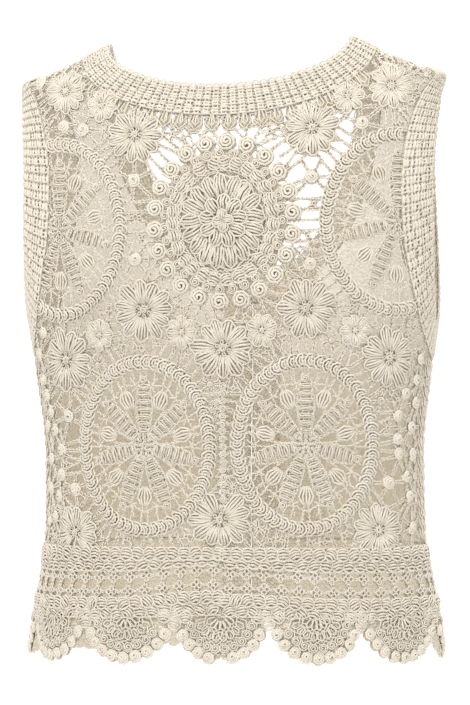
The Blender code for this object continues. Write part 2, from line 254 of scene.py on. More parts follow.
def neck_place(lap, at_back, inset):
    drop = BACK_NECK_DROP if at_back else FRONT_NECK_DROP
    x = (NECK_HALF_WIDTH + inset * (NECKBAND_END_X - NECK_HALF_WIDTH)) * np.sin(np.radians(lap))
    top, low = inset * NECKBAND_END, -drop - inset * BAND_WIDTH
    height = top + (low - top) * np.cos(np.radians(lap))
    return turn_from_x(x, height, at_back), height


def arm_place(lap, inset):
    angle = np.radians(lap)
    high = ARM_TOP + inset * (ARMBAND_TOP - ARM_TOP)
    low = ARM_BOTTOM + inset * (ARMBAND_BOTTOM - ARM_BOTTOM)
    reach = np.where(
        np.sin(angle) > 0,
        ARM_BACK_REACH + inset * (ARMBAND_BACK_REACH - ARM_BACK_REACH),
        ARM_FRONT_REACH + inset * (ARMBAND_FRONT_REACH - ARM_FRONT_REACH),
    )
    height = (high + low) / 2 + (high - low) / 2 * np.cos(angle)
    return turn_from_y(reach * np.sin(angle), height), height


def band_cloth(places):
    """The map of a band. places gives (turn, height) for an inset, which is 0 on the edge."""
    insets = np.linspace(1, -1 / 12, 14)
    rows = [places(inset) for inset in insets]
    turns = np.array([turn for turn, _ in rows]).T
    heights = np.array([height for _, height in rows]).T
    middle = body(turns[:, 6], heights[:, 6])
    along = np.linalg.norm(np.diff(middle, axis=0), axis=1).cumsum()
    cloth = Cloth(np.concatenate([[0.0], along]), (1 - insets) * BAND_WIDTH, turns, heights)
    cloth.points += cloth.outwards * BAND_OUTSET
    return cloth


def neck_cloth():
    opening = math.degrees(math.asin(FRONT_EDGE / NECKBAND_END_X))
    front, back = np.linspace(opening, 90, 90), np.linspace(90, 0, 60)

    def places(inset):
        (front_turn, front_height) = neck_place(front, False, inset)
        (back_turn, back_height) = neck_place(back, True, inset)
        turn = np.concatenate([front_turn, back_turn[1:]])
        height = np.concatenate([front_height, back_height[1:]])
        return np.concatenate([turn, -turn[-2::-1]]), np.concatenate([height, height[-2::-1]])

    return band_cloth(places)


def arm_cloth(side):
    laps = np.linspace(0, 360, 181)

    def places(inset):
        turn, height = arm_place(-side * laps % 360, inset)
        return side * turn, height

    return band_cloth(places)


def front_band_cloth(side):
    """The left band's map runs up the front edge and the right band's runs down it."""
    near, far = FRONT_EDGE, FRONT_GAP / 2 + BAND_WIDTH
    top = neck_place(np.degrees(np.arcsin(far / NECKBAND_END_X)), False, 1.02)[1]
    heights = np.linspace(VALLEY_HEIGHT, float(top), 120)[::side]

    def places(inset):
        x = near + (far - near) * inset
        return side * turn_from_x(x, heights, False), heights

    return band_cloth(places)


# ---- Stitches, each bent once from yarn ----


def linked(name, data):
    made = bpy.data.objects.new(name, data)
    bpy.context.scene.collection.objects.link(made)
    return made


class Stitch:
    """A shape of yarn, bent at its usual length and width and kept so that it can be laid longer
    or wider: the core of each ring of points stretches, and the skin round it keeps the yarn's
    thickness."""

    def __init__(self, name, size, strands, closed=False, thick=YARN):
        curve = bpy.data.curves.new(name, "CURVE")
        curve.dimensions, curve.bevel_resolution = "3D", 0
        curve.bevel_depth, curve.use_fill_caps = thick / 2, True
        scale = np.array([*size, 1.0]) * 0.001
        for strand in strands:
            spline = curve.splines.new("POLY")
            spline.points.add(len(strand) - 1)
            for point, place in zip(spline.points, strand):
                point.co = (*(np.array(place) * scale), 1.0)
            spline.use_cyclic_u = closed
        shape = linked(name, curve)
        bpy.context.view_layer.objects.active = shape
        shape.select_set(True)
        bpy.ops.object.convert(target="MESH")
        mesh = shape.data
        points = np.zeros(len(mesh.vertices) * 3)
        mesh.vertices.foreach_get("co", points)
        points = points.reshape(-1, 3)
        core = np.repeat(points.reshape(-1, 4, 3).mean(axis=1), 4, axis=0)
        _, first, same = np.unique(points.round(7), axis=0, return_index=True, return_inverse=True)
        same = same.ravel()
        self.core, self.skin = core[first], points[first] - core[first]
        self.core[:, :2] /= scale[:2]
        faces = [[int(same[v]) for v in p.vertices] for p in mesh.polygons]
        self.quads = np.array([f for f in faces if len(f) == 4]).reshape(-1, 4)
        self.tris = np.array([f for f in faces if len(f) == 3], int).reshape(-1, 3)
        bpy.data.objects.remove(shape)
        bpy.data.meshes.remove(mesh)


def bow(start, end, rise, count, side=0.0):
    """Points of a strand from start to end, risen and pushed aside in its middle."""
    found = []
    for i in range(count + 1):
        t = i / count
        swell = math.sin(math.pi * t)
        x, y = (s + (e - s) * t for s, e in zip(start, end))
        found.append((x, y + side * swell, rise * swell))
    return found


def round_path(wide, tall, count, turns=1.0, shrink=0.0, rise=0.0):
    found = []
    for i in range(count):
        t = i / (count if turns == 1 else count - 1)
        angle, size = math.tau * turns * t, 1 - shrink * t
        found.append((wide * size * math.cos(angle), tall * size * math.sin(angle), rise * t))
    return found


WAVE = 0.0036
THREAD = Stitch(
    "thread", (3.6, 1), [[(0, 0, 0), (0.33, 0.42, 0.2), (0.67, -0.42, 0), (1, 0, 0)]]
)
RUNG = Stitch("rung", (6, 1), [bow((-0.5, 0), (0.5, 0), 1.0, 2)])
RIB = Stitch("rib", (7, 1), [bow((0, 0), (1, 0), 1.1, 3)], thick=0.0023)
STRAND = Stitch("strand", (6, 1), [bow((0, 0), (1, 0), 0.7, 2, 0.3)], thick=0.0014)
RIDGE = Stitch("ridge", (6, 1), [bow((0, 0), (1, 0), 0.5, 2, 0.4)], thick=0.0015)
LOOP = Stitch("loop", (6, 4), [round_path(0.5, 0.5, 8)], closed=True)
KNOT = Stitch("knot", (3, 3), [round_path(0.5, 0.5, 6)], closed=True)
COIL = Stitch(
    "coil", (4, 4), [round_path(1, 1, 17, turns=2.25, shrink=0.86, rise=0.9)], thick=0.0013
)
PETAL = Stitch(
    "petal",
    (12, 7),
    [
        [(0, -0.12, 0), (0.38, -0.38, 0.6), (0.8, -0.43, 1.0), (1, -0.12, 0.5),
         (1, 0.12, 0.5), (0.8, 0.43, 1.0), (0.38, 0.38, 0.6), (0, 0.12, 0)],
        [(0.05, -0.05, 0.5), (0.5, -0.21, 1.4), (0.9, -0.20, 0.8)],
        [(0.02, 0.0, 0.9), (0.5, 0.02, 1.9), (0.94, 0.0, 0.9)],
        [(0.05, 0.05, 0.5), (0.45, 0.22, 1.5), (0.88, 0.20, 0.8)],
    ],
    thick=0.0018,
)
LEAF = Stitch(
    "leaf",
    (12, 9),
    [
        [(0, 0.08 * k, 0.0), (0.2, 0.15 * k, 0.5), (0.55, 0.24 * k, 1.7 - 0.5 * abs(k)),
         (0.85, 0.16 * k, 0.6), (1, 0.05 * k, 0.0)]
        for k in (-2, -1, 0, 1, 2)
    ],
    thick=0.0017,
)
COIN = Stitch(
    "coin",
    (10, 10),
    [
        [(-0.50, 0.04, 0.0), (-0.34, 0.38, 0.6), (0.0, 0.50, 0.9), (0.34, 0.38, 0.6),
         (0.50, 0.0, 0.3), (0.34, -0.38, 0.6), (0.0, -0.50, 0.9), (-0.34, -0.38, 0.6),
         (-0.50, -0.04, 0.0)],
        [(-0.38, 0.20, 0.6), (0.0, 0.27, 1.6), (0.38, 0.17, 0.6)],
        [(-0.42, -0.02, 0.8), (0.02, 0.05, 2.0), (0.42, -0.05, 0.8)],
        [(-0.36, -0.24, 0.5), (0.0, -0.17, 1.5), (0.36, -0.26, 0.5)],
    ],
    thick=0.0017,
)
ROSE = Stitch(
    "rose", (6, 6), [round_path(1, 1, 20, turns=2.6, shrink=0.90, rise=1.7)], thick=0.0027
)
RIM = Stitch(
    "rim",
    (8, 10),
    [
        [(-0.30, -0.42, 0.8), (-0.10, 0.0, 1.5), (-0.34, 0.42, 0.8)],
        [(-0.50, -0.50, -0.2), (0.08, -0.48, 1.0), (0.44, -0.14, 1.6), (0.40, 0.22, 1.5),
         (0.04, 0.50, 0.9), (-0.50, 0.50, -0.2)],
        [(-0.42, -0.20, 0.5), (0.00, -0.26, 1.6), (0.16, 0.02, 1.9), (-0.04, 0.26, 1.6),
         (-0.44, 0.18, 0.5)],
        [(-0.45, 0.0, 0.9), (-0.12, 0.0, 1.7)],
    ],
    thick=0.0018,
)
SHELL = Stitch(
    "shell",
    (9, 9),
    [
        [(-0.5, -0.38, -0.3), (0.1, -0.52, 0.9), (0.52, 0, 1.2), (0.1, 0.52, 0.9),
         (-0.5, 0.38, -0.3)],
        [(-0.45, -0.1, 0.9), (0.05, -0.22, 1.7), (0.25, 0, 1.8), (0.05, 0.22, 1.7),
         (-0.45, 0.1, 0.9)],
    ],
    thick=0.0013,
)


class Work:
    """Stitches waiting to be laid, and the shapes of net that lie under them."""

    def __init__(self):
        self.stitches, self.under = {}, []

    def add(self, stitch, right, up, angle, long=1.0, wide=1.0, high=1.0, lift=0.0):
        row = np.stack(np.broadcast_arrays(right, up, angle, long, wide, high, lift), axis=-1)
        self.stitches.setdefault(stitch, []).append(row.reshape(-1, 7).astype(float))

    def thread(self, points, lift=0.0):
        """Yarn along a run of flat points, in waves of about one length."""
        points = np.asarray(points, float)
        along = np.concatenate([[0], np.linalg.norm(np.diff(points, axis=0), axis=1).cumsum()])
        count = max(1, round(along[-1] / WAVE))
        at = np.linspace(0, along[-1], count + 1)
        x, y = (np.interp(at, along, points[:, k]) for k in (0, 1))
        dx, dy = np.diff(x), np.diff(y)
        self.add(THREAD, x[:-1], y[:-1], np.arctan2(dy, dx), np.hypot(dx, dy), AS_BENT, 1.0, lift)

    def oval(self, right, up, wide, tall, hole=0.0):
        self.under.append(("oval", right, up, wide, tall, hole))

    def bar(self, start, end, first, last):
        self.under.append(("bar", *start, *end, first, last))

    def covered(self, x, y):
        """How far places are outside the net's shapes, and so less than 0 inside them."""
        away = np.full(np.shape(x), 1.0)
        for kind, *size in self.under:
            if kind == "rows":
                low, top = size
                found = np.abs(y - (low + top) / 2) - (top - low) / 2
            elif kind == "oval":
                right, up, wide, tall, hole = size
                share = np.hypot((x - right) / wide, (y - up) / tall)
                found = (share - 1) * min(wide, tall)
                if hole:
                    found = np.maximum(found, (hole - share) * min(wide, tall))
            else:
                ax, ay, bx, by, first, last = size
                dx, dy = bx - ax, by - ay
                t = np.clip(((x - ax) * dx + (y - ay) * dy) / (dx * dx + dy * dy), 0, 1)
                found = np.hypot(x - ax - t * dx, y - ay - t * dy) - (first + (last - first) * t)
            away = np.minimum(away, found)
        return away


def ellipse(centre, axes, angle):
    return centre[0] + axes[0] * np.cos(angle), centre[1] + axes[1] * np.sin(angle)


def even_angles(axes, count, start=0.0):
    """Angles that are evenly far apart along an ellipse."""
    fine = np.linspace(0, math.tau, 721)
    step = np.hypot(axes[0] * np.sin(fine), axes[1] * np.cos(fine))
    along = np.concatenate([[0], ((step[1:] + step[:-1]) / 2).cumsum()])
    return start + np.interp(np.arange(count) / count * along[-1], along, fine)


def tangent(axes, angle):
    return np.arctan2(axes[1] * np.cos(angle), -axes[0] * np.sin(angle))


# ---- The photograph's view, for placing motifs where it shows them ----

VIEW_TURN = math.radians(7.0)
VIEW_FAR = 3.4
VIEW_HEIGHT = -0.250
VIEW_WIDE = 0.3795
COLUMNS, ROWS, MIDDLE_COLUMN = 470, 705, 235.5
PIXEL, MOTIF_PIXEL = 0.0008, 0.00079  # metres of cloth in a pixel, first guess and as measured
NUDGE = 0.001
BACK_REACH, LOWEST = 0.235, -0.51
EYE = np.array([-math.sin(VIEW_TURN) * VIEW_FAR, math.cos(VIEW_TURN) * VIEW_FAR, VIEW_HEIGHT])
AHEAD = np.array([math.sin(VIEW_TURN), -math.cos(VIEW_TURN), 0.0])
SIDEWAYS = np.array([-math.cos(VIEW_TURN), -math.sin(VIEW_TURN), 0.0])


def seen_at(points):
    """Columns and rows of the photograph where points are seen."""
    away = points - EYE
    scale = COLUMNS / VIEW_WIDE * VIEW_FAR / (away @ AHEAD)
    return np.stack([MIDDLE_COLUMN + away @ SIDEWAYS * scale, ROWS / 2 - away[..., 2] * scale], -1)


def from_photo(column, row):
    """The flat place on the back that the photograph shows at a column and row."""
    target = np.array([column, row], float)
    place = np.array([(column - 222) * PIXEL, -(row - 40) * PIXEL])
    for _ in range(8):
        tries = place + np.array([(0, 0), (NUDGE, 0), (0, NUDGE)])
        seen = seen_at(BODY.lay(tries[:, 0], tries[:, 1], np.zeros(3)))
        slope = np.stack([(seen[1] - seen[0]) / NUDGE, (seen[2] - seen[0]) / NUDGE], axis=1)
        slope[0, 0] = max(slope[0, 0], 300.0)
        step = np.linalg.solve(slope, target - seen[0])
        place = place + np.clip(step, -0.02, 0.02)
        place = np.clip(place, (-BACK_REACH, LOWEST), (BACK_REACH, 0.0))
    return place


def motif_place(column, row, wide, tall):
    """A motif's centre and half sizes on the flat, from its centre and half sizes in the photo."""
    centre = from_photo(column, row)
    return centre, (wide * MOTIF_PIXEL, tall * MOTIF_PIXEL)


# ---- Motifs of the back ----


def flower(work, centre, size, petals, start=0.0):
    angles = start + np.arange(petals) / petals * math.tau + chance.normal(0, 0.03, petals)
    inner = np.array(size) * 0.26
    x, y = ellipse(centre, inner, angles)
    long = np.hypot((size[0] - inner[0]) * np.cos(angles), (size[1] - inner[1]) * np.sin(angles))
    long = long * (1 + chance.normal(0, 0.06, petals))
    wide = math.tau * 0.78 * (size[0] + size[1]) / 2 / petals * 1.06
    work.add(PETAL, x, y, angles + chance.normal(0, 0.05, petals), long,
             wide * chance.uniform(0.85, 1.15, petals), chance.uniform(0.6, 1.1, petals), 0.0002)
    ring = start + (np.arange(6) + 0.5) / 6 * math.tau
    x, y = ellipse(centre, inner * 0.78, ring)
    work.add(KNOT, x, y, ring, 0.0030, 0.0024, 1.0, 0.0009)
    inner_angles = angles + math.pi / petals
    x, y = ellipse(centre, inner * 0.9, inner_angles)
    work.add(STRAND, x, y, inner_angles, (size[0] - inner[0]) * 0.62, AS_BENT, 1.2, 0.0007)
    work.add(COIL, *centre, start, inner[0] * 0.55, inner[1] * 0.55, 1.0, 0.0012)
    work.oval(*centre, size[0] * 0.86, size[1] * 0.86)
    for angle in angles:
        tip = ellipse(centre, np.array(size) * 0.86, angle)
        work.bar(centre, tip, 0.0008, wide * 0.40)


def rosette(work, right, up, radius, lift=0.0, start=None):
    right, up = np.atleast_1d(right), np.atleast_1d(up)
    start = chance.uniform(0, math.tau, len(right)) if start is None else start
    shape, half = (ROSE, 0.0010) if radius > 0.0053 else (COIL, 0.00065)
    work.add(shape, right, up, start, radius - half, radius - half, 1.0, lift)
    for x, y in zip(right, up):
        work.oval(x, y, radius * 0.9, radius * 0.9)


def cord_ring(work, centre, size, lift, count=72):
    angles = even_angles(size, count)
    work.thread(np.stack(ellipse(centre, size, np.append(angles, angles[0])), -1), lift)


def coin_ring(work, centre, size, count, long, wide, lift, radial):
    """Coins of looped yarn round an oval, their strands along its radius or along its edge."""
    angles = even_angles(size, count, 0.15) + chance.normal(0, 0.02, count)
    x, y = ellipse(centre, size, angles)
    heading = np.arctan2(y - centre[1], x - centre[0]) if radial else tangent(size, angles)
    work.add(COIN, x, y, heading + chance.normal(0, 0.16, count),
             long * chance.uniform(0.92, 1.08, count), wide * chance.uniform(0.92, 1.08, count),
             chance.uniform(0.8, 1.25, count), lift)


def medallion(work, centre, size):
    size = np.array(size)
    flower(work, centre, size * 0.545, 8, start=0.2)
    coin_ring(work, centre, size * 0.39, 17, 0.0185, 0.0104, 0.0010, True)
    coin_ring(work, centre, size * 0.205, 9, 0.0125, 0.0104, 0.0022, True)
    coin_ring(work, centre, size * 0.065, 4, 0.0085, 0.0078, 0.0030, True)
    for share in (0.545, 0.575):
        cord_ring(work, centre, size * share, 0.0012)
    coin_ring(work, centre, size * 0.632, 27, 0.0104, 0.0100, 0.0004, False)
    cord_ring(work, centre, size * 0.685, 0.0010)
    angles = even_angles(size * 0.74, 31)
    rosette(work, *ellipse(centre, size * 0.737, angles), 0.0050, 0.0010)
    angles = even_angles(size * 0.87, 22, 0.1)
    rosette(work, *ellipse(centre, size * 0.868, angles), 0.0082, 0.0006)
    work.oval(*centre, *(size * 0.56))
    work.oval(*centre, *(size * 0.79), hole=0.70)


WHEEL_SPOKES = 7


def wheel(work, centre, size, start=math.pi / 2):
    size = np.array(size)
    rim = size * (1 - 0.0048 / size.mean())
    count = round(math.tau * rim.mean() / 0.0070)
    angles = even_angles(rim, count)
    x, y = ellipse(centre, rim, angles)
    work.add(RIM, x, y, tangent(rim, angles) + chance.normal(0, 0.10, count), 0.0080, 0.0106,
             chance.uniform(0.8, 1.2, count), 0.0004)
    for share, lift, count in ((0.955, 0.0010, 72), (1.045, 0.0010, 72), (0.925, 0.0, 120),
                               (1.075, 0.0, 120)):
        cord_ring(work, centre, rim * share, lift, count)
    work.oval(*centre, *(rim * 1.07), hole=0.868)
    inner = rim * 0.88
    for k in range(WHEEL_SPOKES):
        angle = start + k * math.tau / WHEEL_SPOKES
        spoke(work, centre, inner, angle)
        leaf(work, centre, inner, angle + math.pi / WHEEL_SPOKES)

    def at(turn, share):
        angle = start + turn * math.tau / WHEEL_SPOKES
        return centre + np.array([math.cos(angle), math.sin(angle)]) * inner * share

    path = []
    for k in range(WHEEL_SPOKES):
        path += [at(k, 0.92), at(k + 0.22, 0.83), at(k + 0.5, 0.90), at(k + 0.78, 0.83)]
    work.thread(path + path[:1], 0.0)
    for k in range(WHEEL_SPOKES):
        for turn, share in ((k - 0.06, 0.93), (k + 0.06, 0.93), (k + 0.22, 0.83),
                            (k + 0.43, 0.89), (k + 0.57, 0.89), (k + 0.78, 0.83)):
            work.thread([at(turn, share), at(turn * 0.98 + k * 0.02, 1.05)], 0.0)
    hub = np.array([0.0095, 0.0095])
    for count, share, wide in ((5, 0.28, 0.0034), (9, 0.66, 0.0036), (14, 1.0, 0.0038)):
        angles = start + np.arange(count) / count * math.tau
        x, y = ellipse(centre, hub * share, angles)
        work.add(KNOT, x, y, angles, wide, wide * 0.8, 1.0, 0.0006)
        work.add(RUNG, x, y, angles, 0.003, AS_BENT, 1.2, 0.0008)
    work.oval(*centre, *(hub * 1.15))


def left_of(direction):
    return np.array([-direction[1], direction[0]])


def arm(inner, angle):
    """An arm of a wheel: how long it is, its unit and its heading, and the unit to its left."""
    direction = np.array([math.cos(angle) * inner[0], math.sin(angle) * inner[1]])
    reach = np.hypot(*direction)
    unit = direction / reach
    return reach, unit, math.atan2(unit[1], unit[0]), left_of(unit)


def spoke(work, centre, inner, angle):
    """A ladder of loops that widens outwards and ends in a small coil."""
    reach, unit, heading, across = arm(inner, angle)
    shares = np.linspace(0.20, 0.80, max(6, round(reach * 0.6 / 0.0050)))
    for share in shares:
        wide = 0.0050 + 0.0080 * math.sin(math.pi * min(1.0, (share - 0.12) / 0.86)) ** 0.8
        x, y = centre + unit * reach * share
        work.add(LOOP, x, y, heading + math.pi / 2 + chance.normal(0, 0.06), wide, 0.0036, 1.0,
                 0.0006)
        work.add(RUNG, x, y, heading + math.pi / 2, wide * 0.8, AS_BENT, 1.4, 0.0010)
    for aside in (-1, 1):
        path = []
        for share in np.linspace(0.14, 0.84, 9):
            wide = 0.0022 + 0.0046 * math.sin(math.pi * min(1.0, (share - 0.1) / 0.86))
            path.append(centre + unit * reach * share + across * wide * aside)
        work.thread(path, 0.0002)
    end = centre + unit * reach * 0.90
    work.add(COIL, *end, heading, 0.0036, 0.0036, 1.0, 0.0005)
    work.bar(centre, centre + unit * reach * 0.5, 0.0022, 0.0060)
    work.bar(centre + unit * reach * 0.5, end, 0.0060, 0.0030)


def leaf(work, centre, inner, angle):
    """An oval of strands on chains, between two ladders."""
    reach, unit, heading, across = arm(inner, angle)
    middle = centre + unit * reach * 0.68
    work.add(LEAF, *(middle - unit * 0.0075), heading, 0.0150, 0.0118,
             chance.uniform(0.5, 0.8), 0.0002)
    work.oval(*middle, 0.0060, 0.0060)
    for aside in (-1, 1):
        def off(share, metres):
            return centre + unit * reach * share + across * aside * metres

        work.thread([off(0.22, 0.0014), off(0.46, 0.0040), middle + across * aside * 0.0050], 0.0)
        work.thread([off(0.24, 0.0032), off(0.46, 0.0074), off(0.62, 0.0098), off(0.80, 0.0110),
                     off(0.96, 0.0088)], 0.0)
        for share in (0.38, 0.50):
            work.thread([off(share, 0.0032), off(share, 0.0066)], 0.0)
        work.thread([middle + unit * 0.0070 + across * aside * 0.0016, off(1.05, 0.0030)], 0.0)
        work.thread([off(0.76, 0.0060), off(0.80, 0.0108)], 0.0)


# Photo columns and rows of centres, with half sizes across and up in the photo's pixels
WHEELS = (
    (144.5, 446, 72, 91), (306, 445, 74, 91), (60, 230, 72, 94), (397, 222, 78, 93),
)
MEDALLION = (223, 221, 80, 92)
LARGE_FLOWERS = (
    (135, 135, 27, 27), (312, 128, 27, 27), (144, 310, 29, 30), (306, 308, 29, 30),
    (67, 360, 28, 31), (389, 357, 28, 31), (223, 348, 31, 30), (76, 533, 28, 26),
    (378, 530, 27, 26), (220, 520, 31, 28), (66, 92, 22, 22), (391, 86, 22, 22),
)
SMALL_FLOWERS = (
    (102, 106, 16, 16), (348, 97, 16, 16), (100, 335, 15, 16), (182, 332, 15, 17),
    (262, 330, 15, 17), (355, 330, 15, 16),
)
SIDE_ROSETTES = (
    (416, 380), (405, 393), (398, 415), (398, 439), (399, 454), (406, 476), (409, 496),
    (62, 450), (62, 474), (60, 496), (56, 516), (52, 412), (56, 430), (44, 380), (48, 396),
)


# ---- Making the pieces ----


def laid_mesh(name, cloth, work, inside):
    """One mesh of all the stitches whose middles are inside the piece."""
    points, quads, tris, count = [], [], [], 0
    for stitch, rows in work.stitches.items():
        row = np.concatenate(rows)
        centre = stitch.core[:, 0].mean()
        right = row[:, 0] + np.cos(row[:, 2]) * row[:, 3] * centre
        up = row[:, 1] + np.sin(row[:, 2]) * row[:, 3] * centre
        row = row[inside(right, up) < 0.0]
        if not len(row):
            continue
        x = stitch.core[None, :, 0] * row[:, 3, None] + stitch.skin[None, :, 0]
        y = stitch.core[None, :, 1] * row[:, 4, None] + stitch.skin[None, :, 1]
        z = stitch.core[None, :, 2] * row[:, 5, None] + stitch.skin[None, :, 2]
        c, s = np.cos(row[:, 2, None]), np.sin(row[:, 2, None])
        # A small wobble that differs from place to place, so that no two stitches are alike
        phase = (row[:, :1] + row[:, 1:2]) * 9e4
        phase = phase + stitch.core[None, :, 0] * 57 + stitch.core[None, :, 1] * 131
        y = y + WOBBLE_ASIDE * np.sin(phase)
        z = z + WOBBLE_OUT * np.sin(phase * 1.7 + 1.0)
        flat = cloth.lay(row[:, 0, None] + x * c - y * s, row[:, 1, None] + x * s + y * c,
                         z + row[:, 6, None])
        points.append(flat.reshape(-1, 3))
        shift = count + np.arange(len(row))[:, None, None] * len(stitch.core)
        if len(stitch.quads):
            quads.append((stitch.quads[None] + shift).reshape(-1, 4))
        if len(stitch.tris):
            tris.append((stitch.tris[None] + shift).reshape(-1, 3))
        count += len(row) * len(stitch.core)
    points, quads = np.concatenate(points), np.concatenate(quads)
    tris = np.concatenate(tris) if tris else np.zeros((0, 3), int)
    mesh = bpy.data.meshes.new(name)
    mesh.vertices.add(len(points))
    mesh.vertices.foreach_set("co", points.ravel())
    mesh.loops.add(quads.size + tris.size)
    mesh.loops.foreach_set("vertex_index", np.concatenate([quads.ravel(), tris.ravel()]))
    sizes = np.concatenate([np.full(len(quads), 4), np.full(len(tris), 3)])
    mesh.polygons.add(len(sizes))
    mesh.polygons.foreach_set("loop_start", np.concatenate([[0], sizes.cumsum()[:-1]]))
    mesh.update(calc_edges=True)
    mesh.validate()
    mesh.polygons.foreach_set("use_smooth", np.ones(len(sizes), bool))
    return linked(name, mesh)


def cloth_mesh(name, cloth, inside, box, cell, sink=NET_SINK, thick=NET_THICK, ribs=None):
    """A closed thin net over the places where inside is less than 0."""
    x0, x1, y0, y1 = box
    xs = np.linspace(x0, x1, max(2, round((x1 - x0) / cell)) + 1)
    ys = np.linspace(y0, y1, max(2, round((y1 - y0) / cell)) + 1)
    gx, gy = np.meshgrid(xs, ys, indexing="ij")
    away = inside(gx, gy)
    away = np.where(np.abs(away) < 1e-6, -1e-6, away)
    points, faces, known = [], [], {}

    def corner(i, j):
        if (i, j) not in known:
            known[i, j] = len(points)
            points.append((xs[i], ys[j]))
        return known[i, j]

    def crossing(i, j, k, m):
        key = (min(i, k), min(j, m), i != k)
        if key not in known:
            t = float(np.clip(away[i, j] / (away[i, j] - away[k, m]), 0.12, 0.88))
            known[key] = len(points)
            points.append((xs[i] + (xs[k] - xs[i]) * t, ys[j] + (ys[m] - ys[j]) * t))
        return known[key]

    some = (away < 0)
    any_in = some[:-1, :-1] | some[1:, :-1] | some[:-1, 1:] | some[1:, 1:]
    for i, j in zip(*np.nonzero(any_in)):
        ring = ((i, j), (i + 1, j), (i + 1, j + 1), (i, j + 1))
        face = []
        for here, after in zip(ring, ring[1:] + ring[:1]):
            if away[here] < 0:
                face.append(corner(*here))
            if (away[here] < 0) != (away[after] < 0):
                face.append(crossing(*here, *after))
        faces.append(face)
    flat = np.array(points)
    out = -sink + (ribs(flat[:, 0], flat[:, 1]) if ribs else 0.0) + np.zeros(len(flat))
    mesh = bpy.data.meshes.new(name)
    mesh.from_pydata(cloth.lay(flat[:, 0], flat[:, 1], out).tolist(), [], faces)
    piece = linked(name, mesh)
    bpy.ops.object.select_all(action="DESELECT")
    bpy.context.view_layer.objects.active = piece
    piece.select_set(True)
    wall = piece.modifiers.new("wall", "SOLIDIFY")
    wall.thickness, wall.offset, wall.use_even_offset = thick, -1.0, False
    bpy.ops.object.modifier_apply(modifier="wall")
    bpy.ops.object.shade_smooth()
    piece.select_set(False)
    return piece


def finish_piece(piece, material):
    piece.data.materials.clear()
    piece.data.materials.append(material)
    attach(piece, "root")


def half_area(piece):
    mesh = piece.data
    areas = np.zeros(len(mesh.polygons))
    mesh.polygons.foreach_get("area", areas)
    return float(areas.sum() / 2)


# ---- The panels' outlines on the flat ----


def body_place(right, up):
    """Distance from the middle, distance behind the ring's centre, and turn."""
    point = plain_body(turn_of(right, up), up)
    return np.abs(point[..., 0]), point[..., 1] - ring_at(up)[3], turn_of(right, up)


def openings_away(right, up):
    """How far places are inside the neckband's or the armband's seam."""
    x, y, turn = body_place(right, up)
    drop = np.where(turn < 90, BACK_NECK_DROP, FRONT_NECK_DROP) + BAND_WIDTH
    share = np.hypot(x / NECKBAND_END_X, (up - NECKBAND_END) / (drop + NECKBAND_END))
    neck = (1 - share) * np.minimum(NECKBAND_END_X, drop)
    reach = np.where(y > 0, ARMBAND_BACK_REACH, ARMBAND_FRONT_REACH)
    middle, half = (ARMBAND_TOP + ARMBAND_BOTTOM) / 2, (ARMBAND_TOP - ARMBAND_BOTTOM) / 2
    arm = (1 - np.hypot(y / reach, (up - middle) / half)) * reach
    return np.maximum(neck + SEAM, arm + SEAM)


def front_edge_away(turn, x):
    """How far places on the front are past the panel's edge, under the front band."""
    return FRONT_GAP / 2 + BAND_WIDTH - LAP - np.where(turn < 90, 1.0, x)


def back_outline(side):
    """side is 1 for the right half and -1 for the left."""

    def away(right, up):
        found = np.maximum(SEAM - right * side, np.abs(right) - right_of(90, up) + SEAM)
        return np.maximum.reduce([found, BORDER_TOP + SEAM - up, openings_away(right, up)])

    return away


def front_outline(side):
    def away(right, up):
        x, _, turn = body_place(right, up)
        found = np.maximum(right_of(90, up) + SEAM - right * side, BORDER_TOP + SEAM - up)
        return np.maximum.reduce([found, front_edge_away(turn, x), openings_away(right, up)])

    return away


BAND_TURN = float(turn_from_x(FRONT_GAP / 2 + BAND_WIDTH, VALLEY_HEIGHT, False))
SCALLOP_WIDTH = float(right_of(BAND_TURN, VALLEY_HEIGHT)) / 5.5
SCALLOP_RADIUS = ((SCALLOP_WIDTH / 2) ** 2 + SCALLOP_DROP**2) / (2 * SCALLOP_DROP)
SCALLOP_CENTRE = VALLEY_HEIGHT - SCALLOP_DROP + SCALLOP_RADIUS


def hem_height(metres):
    off_middle = (metres / SCALLOP_WIDTH + 0.5) % 1.0 - 0.5
    return SCALLOP_CENTRE - np.sqrt(SCALLOP_RADIUS**2 - (off_middle * SCALLOP_WIDTH) ** 2)


def border_outline(side, front):
    def away(right, up):
        turn = turn_of(right, up)
        metres = right_of(turn, VALLEY_HEIGHT)
        found = np.maximum(hem_height(metres) - up, up - BORDER_TOP + SEAM)
        seam = right_of(90, up)
        if front:
            edge = front_edge_away(turn, np.abs(plain_body(turn, up)[..., 0]))
            return np.maximum(found, np.maximum(seam + SEAM - right * side, edge))
        return np.maximum(found, np.maximum(SEAM - right * side, right * side - seam + SEAM))

    return away


# ---- The back ----


